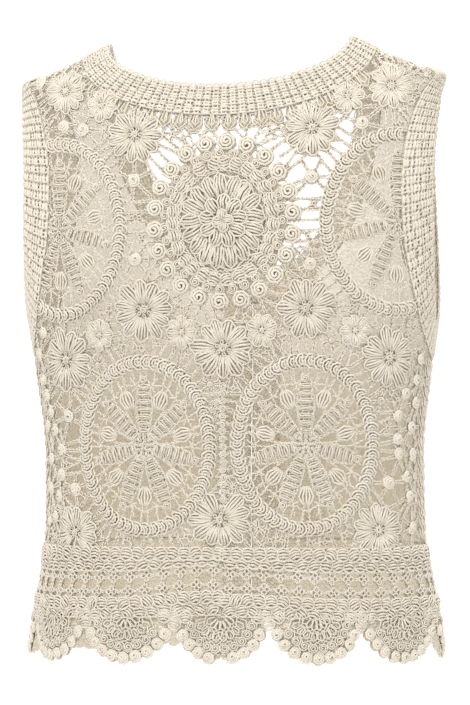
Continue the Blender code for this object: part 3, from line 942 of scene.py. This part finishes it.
def back_work():
    work, shapes = Work(), []
    centre, size = motif_place(*MEDALLION)
    medallion(work, centre, size)
    shapes.append((centre, size))
    for row in WHEELS:
        centre, size = motif_place(*row)
        wheel(work, centre, size)
        shapes.append((centre, size))
    for rows, petals in ((LARGE_FLOWERS, 11), (SMALL_FLOWERS, 8)):
        for row in rows:
            centre, size = motif_place(*row)
            flower(work, centre, size, petals, chance.uniform(0, 1))
            shapes.append((centre, size))
    for column, row in SIDE_ROSETTES:
        centre = from_photo(column, row)
        rosette(work, *centre, 0.0056)
        shapes.append((centre, (0.0060, 0.0060)))
    laps = np.linspace(-64, 64, 22)
    turn, height = neck_place(np.abs(laps), True, 1.24)
    right = -np.sign(laps) * right_of(turn, height)
    lean = np.gradient(height) / np.gradient(right)
    work.add(SHELL, right, height, np.arctan(lean) - math.pi / 2, 0.0125, 0.0102, 1.0, 0.0002)
    work.add(STRAND, right, height - 0.0050, np.arctan(lean) + math.pi / 2, 0.0110, AS_BENT, 1.8,
             0.0010)
    for x, y in zip(right, height):
        work.oval(x, y, 0.0056, 0.0068)
        shapes.append((np.array([x, y]), (0.0050, 0.0062)))
    work.thread(np.stack([right, height - 0.0064], -1), 0.0006)
    for side in (-1, 1):
        for inset, shift in ((0.0052, 0.0), (0.0142, 0.0038)):
            ups = np.arange(-0.262 + shift, BORDER_TOP + 0.004, -0.0080)
            right = side * (right_of(90, ups) - inset)
            work.add(SHELL, right, ups, -math.pi / 2 + chance.normal(0, 0.15, len(ups)), 0.0092,
                     0.0098, 1.0, 0.0)
            for x, y in zip(right, ups):
                work.oval(x, y, 0.0052, 0.0052)
    for row in np.arange(386, 508, 7.6):
        up = from_photo(221, row)[1]
        rosette(work, 0.0006, up, 0.0040, 0.0008)
        work.add(STRAND, -0.0050, up, 0.0, 0.0105, AS_BENT, 1.0, 0.0)
        shapes.append((np.array([0.0, up]), (0.0042, 0.0030)))
    return work, shapes


def outline_points(shape, step=0.0042):
    centre, size = shape
    count = max(6, round(math.tau * (size[0] + size[1]) / 2 / step))
    angles = even_angles(size, count)
    x, y = ellipse(centre, size, angles)
    normals = np.stack([np.cos(angles) / size[0], np.sin(angles) / size[1]], -1)
    normals /= np.linalg.norm(normals, axis=1, keepdims=True)
    return np.stack([x, y], -1), normals


def grid_over(box, cell):
    return np.meshgrid(np.arange(*box[:2], cell), np.arange(*box[2:], cell), indexing="ij")


def edge_points(outline, box, step=0.004):
    """Places along the edge of a panel, found on a fine grid."""
    gx, gy = grid_over(box, 0.001)
    away = outline(gx, gy)
    near = (away < 0) & (away > -0.0011)
    found = np.stack([gx[near], gy[near]], -1)
    kept = []
    for place in found:
        if all(abs(place[0] - p[0]) + abs(place[1] - p[1]) > step for p in kept):
            kept.append(place)
    return np.array(kept)


def reach_in(work, place, heading):
    """The place moved on along a heading until it is well over the net."""
    steps = np.arange(0.0, 0.0140, 0.0005)
    path = place + steps[:, None] * heading
    over = work.covered(path[:, 0], path[:, 1]) < -0.0010
    return path[int(over.argmax())] if over.any() else place + heading * 0.0012


def join_motifs(work, shapes, outline, box, reach=0.020, apart=0.0052):
    """Pairs of chain from each motif's edge across the gap to its nearest neighbour."""
    owners, places, normals = [], [], []
    for k, shape in enumerate(shapes):
        at, normal = outline_points(shape)
        owners += [k] * len(at)
        places.append(at)
        normals.append(normal)
    edge = edge_points(outline, box)
    owners = np.array(owners + [-1] * len(edge))
    normals = np.concatenate(normals + [np.zeros_like(edge)])
    places = np.concatenate(places + [edge])
    found = []
    for k in range(len(places)):
        if owners[k] < 0 or outline(*places[k]) > -0.001:
            continue
        gap = places - places[k]
        far = np.linalg.norm(gap, axis=1)
        facing = (gap @ normals[k]) / np.maximum(far, 1e-6)
        ok = (owners != owners[k]) & (far > 0.0016) & (far < reach) & (facing > 0.55)
        if not ok.any():
            continue
        cost = np.where(ok, far / np.maximum(facing, 0.1) ** 2, 9.0)
        m = int(cost.argmin())
        found.append((far[m], k, m))
    found.sort()
    mids = []
    for far, k, m in found:
        start, end = places[k], places[m]
        mid = (start + end) / 2
        thirds = np.array([start * (1 - t) + end * t for t in (0.3, 0.5, 0.7)])
        if (work.covered(thirds[:, 0], thirds[:, 1]) < 0.0003).any():
            continue
        if any(np.hypot(*(mid - p)) < apart for p in mids):
            continue
        mids.append(mid)
        heading = (end - start) / far
        across = left_of(heading)
        start, end = reach_in(work, start, -heading), reach_in(work, end, heading)
        for aside in (-0.0011, 0.0011) if far > 0.0035 else (0.0,):
            bend = mid + across * aside * 0.45 + chance.normal(0, 0.0004, 2)
            work.thread([start + across * aside, bend, end + across * aside], -0.0002)
        work.bar(start, end, 0.0009, 0.0009)


def fill_gaps(work, shapes, outline, box, least=0.0042):
    """Small knots and rosettes in the widest gaps, each on chains to what is round it."""
    gx, gy = grid_over(box, GAP_CELL)
    free = np.minimum(-outline(gx, gy), work.covered(gx, gy))
    for centre, size in shapes:
        if min(size) > 0.03:
            free[np.hypot((gx - centre[0]) / size[0], (gy - centre[1]) / size[1]) < 1] = -1.0
    gap = distance_inside(free > 0.0, GAP_CELL)
    placed = 0
    while gap.max() > least and placed < 400:
        at = np.unravel_index(int(gap.argmax()), gap.shape)
        room, centre = float(gap[at]), np.array([gx[at], gy[at]])
        radius = min(0.0062, room - 0.0035) if room > 0.0062 else 0.0014
        if radius > 0.0024:
            rosette(work, *centre, radius)
        else:
            work.add(KNOT, *centre, placed, 0.0030, 0.0028, 1.0, 0.0002)
        work.oval(*centre, radius, radius)
        arms = 6 if room > 0.0075 else 5 if room > 0.0055 else 4
        start = chance.uniform(0, math.tau)
        for k in range(arms):
            angle = start + k * math.tau / arms + chance.normal(0, 0.12)
            heading = np.array([math.cos(angle), math.sin(angle)])
            steps = np.arange(radius + 0.0010, room * 2.4, 0.0006)
            path = centre + steps[:, None] * heading
            hit = np.minimum(-outline(path[:, 0], path[:, 1]),
                             work.covered(path[:, 0], path[:, 1])) < -0.0004
            hit |= steps > room * 2.2
            end = path[int(hit.argmax())] if hit.any() else path[-1]
            across = left_of(heading)
            for aside in (-0.0008, 0.0008) if room > 0.0055 else (0.0,):
                start_at = centre + heading * radius * 0.9 + across * aside
                work.thread([start_at, end + across * aside * 1.5], -0.0003)
            work.bar(centre, end, 0.0009, 0.0009)
        reach = np.hypot(gx - centre[0], gy - centre[1])
        gap = np.where(reach < room * 0.98 + radius, 0.0, gap)
        placed += 1


def distance_inside(mask, cell):
    """How far each place of a grid is from the nearest place outside the mask."""
    far = np.where(mask, 1.0, 0.0)
    for shift in range(60):
        step = np.pad(far, 1)
        straight = np.minimum.reduce([step[2:, 1:-1], step[:-2, 1:-1], step[1:-1, 2:],
                                      step[1:-1, :-2]]) + cell
        corner = np.minimum.reduce([step[2:, 2:], step[:-2, :-2], step[:-2, 2:],
                                    step[2:, :-2]]) + cell * math.sqrt(2)
        better = np.minimum(far, np.minimum(straight, corner))
        if (better == far).all():
            break
        far = better
    return far


# ---- Ribbed bands ----

RIBS, RIB_STEP, RIB_PITCH = 10, 0.00245, 0.0069


def rib_work(cloth, edge):
    work = Work()
    length = cloth.rights[-1]
    count = round(length / RIB_PITCH)
    pitch = length / count
    starts = np.arange(count) * pitch
    for k in range(RIBS):
        up = 0.0010 + k * RIB_STEP
        jitter = chance.normal(0, 0.00022, count)
        work.add(RIB, starts + pitch * 0.02, up + jitter, chance.normal(0, 0.05, count), pitch,
                 AS_BENT, chance.uniform(0.85, 1.15, count), -0.0002)
    for k in range(4):
        work.add(RIDGE, starts + pitch * 0.32, 0.0002 + k * 0.0060, math.pi / 2, 0.0062, AS_BENT,
                 1.0, 0.0008)
        work.add(RIDGE, starts + pitch * 0.78, 0.0004 + k * 0.0060, math.pi / 2, 0.0060, AS_BENT,
                 0.6, 0.0002)
    work.add(LOOP, starts + pitch * 0.5, edge, chance.normal(0, 0.1, count), pitch * 0.92,
             0.0040, 1.0, 0.0002)
    return work


# ---- Borders and fronts ----

SQUARE_PITCH = 0.0138
ROUND_VALLEY = np.array([float(right_of(t, VALLEY_HEIGHT)) for t in TURNS])


def border_work(side, front):
    work = Work()
    seam = float(right_of(90, VALLEY_HEIGHT))
    end = float(right_of(BAND_TURN, VALLEY_HEIGHT))
    first, last = (seam, end) if front else (0.0, seam)

    def spot(metres, up):
        turn = np.interp(metres, ROUND_VALLEY, TURNS)
        return side * right_of(turn, up), up + 0 * metres

    def height(share, metres):
        """Rows are level at the side and rise towards the centre back."""
        rise = (0.0068 if side < 0 else 0.0040) * (1 - smooth((metres - 0.012) / 0.080))
        lift = rise * smooth(np.asarray(share) / 0.34) * (1 - smooth((share - 0.62) / 0.5))
        return BORDER_TOP + (VALLEY_HEIGHT - BORDER_TOP) * share + (0 if front else lift)

    def row_of(stitch, share, pitch, shift, *laid):
        count = round((last - first) / pitch)
        metres = first + (np.arange(count) + shift) / count * (last - first)
        x, y = spot(metres, height(share, metres))
        work.add(stitch, x, y, *laid)
        return metres, x, y

    def beads(rows, pitch, wander, long, widths):
        count = round((last - first) / pitch)
        for share, shift, lift in rows:
            row_of(COIN, share, pitch, shift, chance.normal(0, wander, count), long,
                   chance.uniform(*widths, count), chance.uniform(0.8, 1.2, count), lift)

    def chain_pair(a, b, dx, dy, half):
        for sign in (-1, 1):
            work.thread(np.stack([a + sign * dx, b + sign * dy], -1), 0.0)
        work.bar((a[0], b[0]), (a[1], b[1]), half, half)

    def upright(metres, top, low):
        """A pair of places at shares of the border's height, one above the other."""
        return spot(np.full(2, metres), np.array([float(height(s, metres)) for s in (top, low)]))

    def squares():
        """Two rows of small knots on chains, with square openings between them."""
        columns = round((last - first) / SQUARE_PITCH)
        middles = first + (np.arange(columns) + 0.5) / columns * (last - first)
        for share in (0.375, 0.545):
            x, y = spot(middles, height(share, middles))
            for dx, dy in ((0.0025, 0), (-0.0025, 0), (0, 0.0025), (0, -0.0025)):
                work.add(KNOT, x + dx, y + dy, chance.uniform(0, 3, columns), 0.0040, 0.0040, 1.0,
                         0.0006)
            for at in zip(x, y):
                work.oval(*at, 0.0046, 0.0046)
            for k in range(columns + 1):
                both = np.array([middles[k - 1] + 0.003 if k else first,
                                 middles[k] - 0.003 if k < columns else last])
                chain_pair(*spot(both, height(share, both)), 0.0, 0.0006, 0.0011)
        for middle in middles:
            for top, low in ((0.30, 0.33), (0.40, 0.52), (0.59, 0.65)):
                chain_pair(*upright(middle, top, low), 0.0008, 0.0, 0.0015)

    def ground():
        """The net under the dense rows."""
        for k in range(60):
            ends = [first + (last - first) * n / 60 for n in (k, k + 1)]
            for top, low in ((0.0, 0.30), (0.635, 0.90)):
                a, b = upright(sum(ends) / 2, top, low)
                work.bar((a[0], b[0] - 0.002), (a[1], b[1] + 0.002), 0.0026, 0.0026)

    for share in (0.005, 0.300, 0.625, 0.86):
        metres = np.linspace(first, last, 60)
        work.thread(np.stack(spot(metres, height(share, metres)), -1), 0.0008)
    if front:
        for k in range(7):
            row_of(RIB, 0.02 + 0.135 * k, 0.0056, 0.5 * (k % 2), -math.pi / 2, 0.0088, AS_BENT, 1.0,
                   -0.0003)
        work.under.append(("rows", VALLEY_HEIGHT - 0.004, BORDER_TOP))
    else:
        beads(((0.215, 0.75, 0.0002), (0.090, 0.25, 0.0014)), 0.0102, 0.22, 0.0106,
              (0.0098, 0.0110))
        squares()
        beads(((0.80, 0.75, 0.0), (0.69, 0.25, 0.0010)), 0.0096, 0.45, 0.0102, (0.0092, 0.0104))
        ground()
        for k in range(6):
            for right, up in ((-0.0085, 0.0108), (0.0, 0.0128), (0.0085, 0.0108), (0.0, 0.0052)):
                metres = (k + 0.5) * SCALLOP_WIDTH + right
                if first + 0.003 < metres < last - 0.003:
                    x, y = spot(metres, VALLEY_HEIGHT + up)
                    work.add(COIN, x, y, chance.normal(0, 0.5), 0.0098, 0.0092, 1.0, 0.0)
    lowest = VALLEY_HEIGHT + 0.010
    for k in range(7):
        middle = k * SCALLOP_WIDTH
        if middle + SCALLOP_WIDTH / 2 > first + 0.001 and middle - SCALLOP_WIDTH / 2 < last - 0.001:
            scallop(work, spot, middle, first, last, lowest)
    return work


def scallop(work, spot, middle, first, last, lowest):
    widest = math.asin(SCALLOP_WIDTH / 2 / SCALLOP_RADIUS)

    def arc(inset, angles):
        radius = SCALLOP_RADIUS - inset
        metres = middle + radius * np.sin(angles)
        up = SCALLOP_CENTRE - radius * np.cos(angles)
        keep = (metres > first + 0.0006) & (metres < last - 0.0006) & (up < lowest)
        x, y = spot(metres, up)
        turned = np.where(spot(metres + 0.001, up)[0] < x, -1, 1)
        return x[keep], y[keep], (angles * turned)[keep] - math.pi / 2

    def tier(inset, count, shift=0.5):
        return arc(inset, (np.arange(count) + shift) / count * 2 * widest - widest)

    x, y, _ = tier(0.0054, 9)
    rosette(work, x, y, 0.0057, 0.0004)
    x, y, _ = tier(0.0135, 9, 1.0)
    rosette(work, x, y, 0.0050, 0.0012)
    for inset, count in ((0.0215, 8), (0.0300, 6)):
        x, y, angle = tier(inset, count)
        work.add(SHELL, x, y, angle + chance.normal(0, 0.12, len(x)), 0.0112, 0.0108, 1.1, 0.0004)
    angles = np.linspace(-widest, widest, 60)
    for inset in (0.0090, 0.0180, 0.0255):
        x, y, _ = arc(inset, angles)
        if len(x) > 3:
            order = np.argsort(x)
            work.thread(np.stack([x[order], y[order]], -1), 0.0002)
    for inset in (0.0095, 0.0150, 0.0205, 0.0260, 0.0315, 0.0370):
        x, y, _ = arc(inset, np.linspace(-widest, widest, 22))
        for at in zip(x, y):
            work.oval(*at, 0.0044, 0.0044)


FRONT_ROW, FRONT_PITCH = 0.0098, 0.0062


def front_work(side):
    work = Work()
    rows = np.arange(BORDER_TOP + 0.004, 0.0, FRONT_ROW)
    for j, up in enumerate(rows):
        first, last = float(right_of(90, up)), float(right_of(180, up))
        count = round((last - first) / FRONT_PITCH)
        metres = first + (np.arange(count) + 0.5 * (j % 2)) / count * (last - first)
        work.add(RIB, side * metres, up - 0.0038, math.pi / 2 + chance.normal(0, 0.12, count),
                 0.0092, AS_BENT, chance.uniform(0.8, 1.1, count), -0.0003)
        x = side * np.linspace(first, last, 60)
        work.thread(np.stack([x, 0 * x + up + 0.0040], -1), 0.0005)
    return work


# ---- Finishes ----


def cotton(name, colour, deep, crinkle, stitch=0.0, pale=None):
    """Matte cotton with a fine crinkle. A plain ground also gets small stitches of a size, with
    painted shade in the grooves between them. One with a pale colour is smoother, and is painted
    that colour towards the shoulders as painted light."""
    material = bpy.data.materials.new(name)
    material.use_nodes = True
    nodes = material.node_tree.nodes
    shader = nodes["Principled BSDF"]

    def node(kind, **values):
        made = nodes.new(f"ShaderNode{kind}")
        settle(made, **values)
        return made

    def settle(made, **values):
        for socket, value in values.items():
            made.inputs[socket.replace("_", " ")].default_value = value

    def link(source, output, target, socket):
        material.node_tree.links.new(source.outputs[output], target.inputs[socket])

    def ramp(first, last, low, high):
        made = node("ValToRGB")
        ends = made.color_ramp.elements
        ends[0].position, ends[1].position = first, last
        ends[0].color, ends[1].color = (*low, 1), (*high, 1)
        return made

    settle(shader, Roughness=0.92, Specular_IOR_Level=0.15, Sheen_Weight=0.25,
           Sheen_Roughness=0.5)
    where = node("TexCoord")
    mottle = node("TexNoise", Scale=55.0, Detail=6.0)
    tint = ramp(0.32, 0.70, deep, colour)
    fuzz = node("TexNoise", Scale=crinkle, Detail=4.0, Roughness=0.65)
    bump = node("Bump", Strength=0.4 if pale else 0.85, Distance=0.0009)
    link(where, "Object", mottle, "Vector")
    link(where, "Object", fuzz, "Vector")
    link(mottle, "Fac", tint, "Fac")
    link(tint, "Color", shader, "Base Color")
    link(fuzz, "Fac", bump, "Height")
    link(bump, "Normal", shader, "Normal")
    if stitch:
        loops = node("TexVoronoi", Scale=1 / stitch, Randomness=0.8)
        humps = node("Bump", Strength=1.0, Distance=0.0008 if pale else 0.0022)
        humps.invert = True
        # Painted shade: the colour is darkened in the grooves between the small stitches' humps,
        # less so on a pale ground.
        painted_groove_shade = ramp(0.40, 0.85, (1, 1, 1), (0.92, 0.90, 0.86) if pale else (0.80, 0.755, 0.67))
        darken = node("Mix")
        darken.data_type, darken.blend_type = "RGBA", "MULTIPLY"
        settle(darken, Factor=1.0)
        link(where, "Object", loops, "Vector")
        link(loops, "Distance", humps, "Height")
        link(humps, "Normal", bump, "Normal")
        link(loops, "Distance", painted_groove_shade, "Fac")
        link(tint, "Color", darken, "A")
        link(painted_groove_shade, "Color", darken, "B")
        link(darken, "Result", shader, "Base Color")
        # Painted light: a pale ground is mixed to its pale colour upwards from 0.36 m to 0.16 m
        # below the top, standing in for light falling in through the neck opening.
        if pale:
            parts = node("SeparateXYZ")
            rise = node("MapRange", From_Min=-0.36, From_Max=-0.16)
            rise.interpolation_type = "SMOOTHSTEP"
            painted_shoulder_light = node("Mix")
            painted_shoulder_light.data_type = "RGBA"
            settle(painted_shoulder_light, B=(*pale, 1))
            link(where, "Object", parts, "Vector")
            link(parts, "Z", rise, "Value")
            link(rise, "Result", painted_shoulder_light, "Factor")
            link(darken, "Result", painted_shoulder_light, "A")
            link(painted_shoulder_light, "Result", shader, "Base Color")
    return material


YARN_FINISH = cotton("ecru_cotton_yarn", (0.785, 0.722, 0.622), (0.735, 0.668, 0.548), 900.0)
# The net and the bands' base cloth are coloured lighter than the yarn: painted light that lifts the
# shade in the gaps between stitches.
NET_FINISH = cotton("ecru_cotton_net", (0.86, 0.785, 0.66), (0.78, 0.70, 0.565), 600.0, 0.0027)
BASE_FINISH = cotton("ecru_cotton_base", (0.86, 0.795, 0.69), (0.80, 0.73, 0.61), 800.0, 0.0024)
# The fronts' ground is painted paler towards the shoulders, as painted light.
FRONT_FINISH = cotton("ecru_cotton_front_painted_shoulder_light", (0.80, 0.735, 0.615), (0.73, 0.66, 0.535), 800.0,
                      0.0026, (0.94, 0.895, 0.825))
TAPE_FINISH = cotton("label_tape_weave", (0.80, 0.79, 0.76), (0.74, 0.73, 0.69), 2500.0)


# ---- The garment ----


def on_side(side, near, far):
    return (near, far) if side > 0 else (-far, -near)


def over_net(outline, work):
    return lambda x, y: np.maximum(outline(x, y), work.covered(x, y))


def panel(name, net, finish, work, outline):
    """A net and its stitches, in the place of the solid called name."""
    finish_piece(net, finish)
    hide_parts(name)
    yarn = laid_mesh(f"{name}_stitches", BODY, work, outline)
    finish_piece(yarn, YARN_FINISH)
    half_area(net)


SIDES = ((-1, "left"), (1, "right"))
lace, shapes = back_work()
back_panels = []
for side, _ in SIDES:
    outline, box = back_outline(side), (*on_side(side, SEAM, 0.236), BORDER_TOP, 0.0)
    join_motifs(lace, shapes, outline, box)
    fill_gaps(lace, shapes, outline, box)
    back_panels.append((outline, box))
for (side, word), (outline, box) in zip(SIDES, back_panels):
    net = cloth_mesh(f"back_{word}_lace", BODY, over_net(outline, lace), box, NET_CELL)
    panel(f"back_{word}", net, NET_FINISH, lace, outline)

    for label, front, span, finish in (("back", False, (SEAM, 0.225), NET_FINISH),
                                       ("front", True, (0.20, 0.46), FRONT_FINISH)):
        border = border_work(side, front)
        outline = border_outline(side, front)
        net = cloth_mesh(f"border_{label}_{word}_lace", BODY, over_net(outline, border),
                         (*on_side(side, *span), HEM_LOW, BORDER_TOP), NET_CELL)
        panel(f"border_{label}_{word}", net, finish, border, outline)

    outline = front_outline(side)
    cloth = cloth_mesh(f"front_{word}_lace", BODY, outline,
                       (*on_side(side, 0.19, 0.47), BORDER_TOP, 0.0), FRONT_CELL)
    panel(f"front_{word}", cloth, FRONT_FINISH, front_work(side), outline)

BANDS = [("neckband", neck_cloth(), False)]
for side, word in ((1, "left"), (-1, "right")):
    BANDS.append((f"armband_{word}", arm_cloth(side), True))
    BANDS.append((f"front_band_{word}", front_band_cloth(side), False))
for name, cloth, closed in BANDS:
    length, meets = float(cloth.rights[-1]), name.startswith("front_band")
    margin, edge = (0.0002, 0.0229) if meets else (0.0006, 0.0240)

    def inside(x, y):
        ends = np.full(np.shape(x), -1.0) if closed else np.maximum(-x, x - length)
        return np.maximum(ends, np.maximum(-y, y - BAND_WIDTH + margin))

    base = cloth_mesh(f"{name}_cloth", cloth, inside, (0.0, length, 0.0, BAND_WIDTH), BAND_CELL,
                      sink=0.0007, thick=0.0014)
    finish_piece(base, BASE_FINISH)
    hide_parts(name)
    yarn = laid_mesh(f"{name}_stitches", cloth, rib_work(cloth, edge), lambda x, y: 0 * x - 1)
    finish_piece(yarn, YARN_FINISH)

# ---- The blank label ----

NECK = BANDS[0][1]
middle = float(NECK.rights[-1]) / 2
tape = cloth_mesh("neck_label_tape", NECK, lambda x, y: np.maximum(np.abs(x - middle) - 0.052,
                  np.abs(y - 0.012) - 0.007), (middle - 0.056, middle + 0.056, 0.0, 0.024),
                  0.0020, sink=0.0038, thick=0.0006)
finish_piece(tape, TAPE_FINISH)
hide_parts("neck_label")

# ---- Studio ----

bpy.ops.mesh.primitive_plane_add(size=10, location=(0, 0, -1.25))
floor = bpy.context.object
floor.name = "studio_floor"
paper = bpy.data.materials.new("pale_paper")
paper.use_nodes = True
shader = paper.node_tree.nodes["Principled BSDF"]
shader.inputs["Base Color"].default_value = (0.9, 0.9, 0.9, 1)
shader.inputs["Roughness"].default_value = 0.9
floor.data.materials.append(paper)

world = bpy.data.worlds.new("studio") if not bpy.context.scene.world else bpy.context.scene.world
bpy.context.scene.world = world
world.use_nodes = True
sky = world.node_tree.nodes["Background"]
sky.inputs["Color"].default_value = (1.0, 1.0, 1.0, 1)
sky.inputs["Strength"].default_value = 1.215


def face(thing, target):
    aim = Vector(target) - thing.location
    thing.rotation_euler = aim.to_track_quat("-Z", "Y").to_euler()


def lamp(name, place, size, power):
    light = bpy.data.lights.new(name, "AREA")
    light.shape, light.size, light.energy = "DISK", size, power
    holder = linked(name, light)
    holder.location = place
    face(holder, (0, 0, VIEW_HEIGHT))


lamp("key_light", (0.2, 1.5, 1.7), 0.8, 22)
lamp("front_light", (-0.8, -1.6, 1.2), 1.2, 14)

camera = linked("camera", bpy.data.cameras.new("camera"))
camera.location = EYE
face(camera, (0, 0, VIEW_HEIGHT))
camera.data.sensor_width = 36
camera.data.lens = 36 * VIEW_FAR / (VIEW_WIDE * ROWS / COLUMNS)
camera.data.shift_x = -(MIDDLE_COLUMN - COLUMNS / 2) / ROWS
bpy.context.scene.camera = camera

bpy.context.scene.view_settings.view_transform = "Standard"
